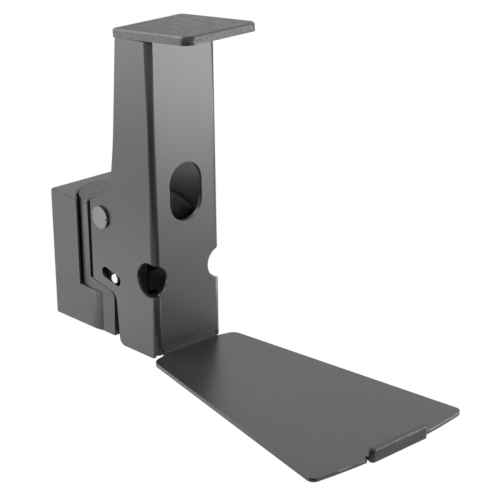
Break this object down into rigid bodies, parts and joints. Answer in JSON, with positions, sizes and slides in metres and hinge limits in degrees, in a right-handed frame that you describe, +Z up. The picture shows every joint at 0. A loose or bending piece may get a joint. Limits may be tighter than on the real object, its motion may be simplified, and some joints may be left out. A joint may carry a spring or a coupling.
{
  "type": "speaker wall bracket",
  "caption": "Folded sheet steel wall bracket for a tabletop speaker: tall channel column with cable holes, platform with a front lip, clamping top cap, and a swivelling, tilting wall block.",
  "frame": {"origin": "on the wall, at the middle of the wall plate's four screw holes, on the plate's back face", "axes": "+Y into the wall, +Z up, +X to the right when facing the wall; the speaker platform lies towards -Y"},
  "size_m": [0.115, 0.2608, 0.2032],
  "materials": {
    "coated_sheet": "satin powder coat",
    "coated_casting": "fine textured coat",
    "coated_screw": "satin",
    "moulded_plastic": "fine moulded texture",
    "soft_plastic": "smooth, slightly soft",
    "nylon": "matt",
    "zinc_steel": "zinc plated",
    "bolt_steel": "zinc plated",
    "spring_steel": "oiled",
    "pin_steel": "bright turned"
  },
  "bodies": {
    "wall_mount": {"wall_plate": "zinc_steel", "wall_cover": "moulded_plastic", "swivel_bolt": "bolt_steel", "swivel_nut": "bolt_steel", "swivel_washer": "bolt_steel", "disc_spring_lower": "spring_steel", "disc_spring_upper": "spring_steel"},
    "turret": {"turret_body": "coated_casting", "turret_cap": "moulded_plastic", "bush_upper": "nylon", "bush_lower": "nylon", "pivot_screw_left": "coated_screw", "pivot_screw_right": "coated_screw", "pivot_washer_left": "nylon", "pivot_washer_right": "nylon"},
    "bracket": {"speaker_bracket": "coated_sheet", "top_cap": "moulded_plastic", "lip_cap": "soft_plastic"},
    "carriage": {"tilt_carriage": "zinc_steel", "guide_pin": "pin_steel"},
    "screw": {"tilt_screw": "bolt_steel", "screw_clip": "spring_steel"}
  },
  "joints": [
    {"name": "swivel", "type": "hinge", "parent": "wall_mount", "child": "turret", "pos_m": [0, -0.0352, 0], "axis": [0, 0, 1], "range_deg": [-35, 35]},
    {"name": "tilt", "type": "hinge", "parent": "turret", "child": "bracket", "pos_m": [0, -0.0477, 0.0332], "axis": [-1, 0, 0], "range_deg": [-1.5, 13.5]},
    {"name": "carriage_lift", "type": "slide", "parent": "turret", "child": "carriage", "axis": [0, 0, 1], "range_m": [-0.00045, 0.0036]},
    {"name": "screw_turn", "type": "hinge", "parent": "turret", "child": "screw", "pos_m": [0, -0.0685, 0], "axis": [0, 0, 1], "range_deg": [-1280, 145]}
  ],
  "couplings": [
    {"joint": "carriage_lift", "follows": "tilt", "m_per_rad": 0.015},
    {"joint": "screw_turn", "follows": "tilt", "ratio": -94.25}
  ]
}
